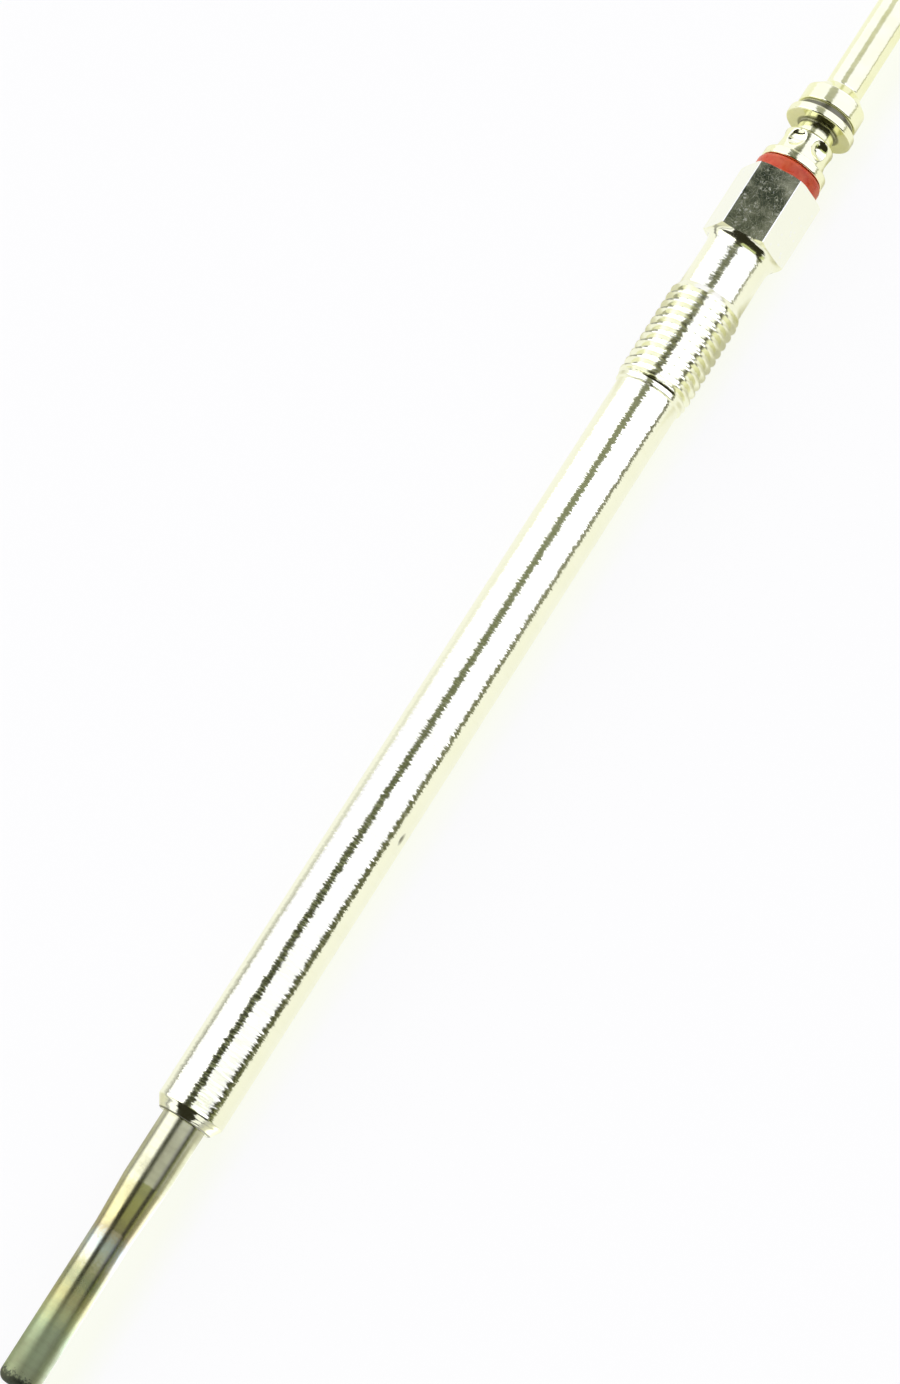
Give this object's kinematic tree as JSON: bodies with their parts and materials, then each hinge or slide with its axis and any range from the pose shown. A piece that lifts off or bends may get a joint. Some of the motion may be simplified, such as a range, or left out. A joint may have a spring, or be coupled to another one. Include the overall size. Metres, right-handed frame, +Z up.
{
  "type": "diesel glow plug",
  "caption": "Slender diesel glow plug with a swaged heater sheath, long cylindrical shank, threaded collar, hexagon drive, red insulating ring and flanged round pin terminal.",
  "frame": {"origin": "on the plug's axis, at the wide edge of the sealing cone", "axes": "+X along the axis from the heater tip to the terminal pin; +Z up, square to a flat of the hexagon, with the opposite flat facing the surface the plug lies on"},
  "size_m": [0.167, 0.0092, 0.008],
  "materials": {
    "plated_steel": "bright warm plating over fine turning marks",
    "heat_tinted_sheath": "satin, with heat tint bands towards the tip",
    "coil_wire": "drawn wire",
    "control_wire": "drawn wire",
    "pressed_powder": "matt pressed powder",
    "seal_rubber": "matt",
    "pole_steel": "drawn rod",
    "red_insulator": "moulded, slightly glossy",
    "plated_terminal": "bright warm plating"
  },
  "bodies": {
    "root": {"body_shell": "plated_steel", "heater_tube": "heat_tinted_sheath", "heating_coil": "coil_wire", "control_coil": "control_wire", "insulating_powder": "pressed_powder", "tube_seal": "seal_rubber", "center_pole": "pole_steel", "o_ring": "seal_rubber", "insulating_ring": "red_insulator", "terminal": "plated_terminal"}
  },
  "joints": []
}
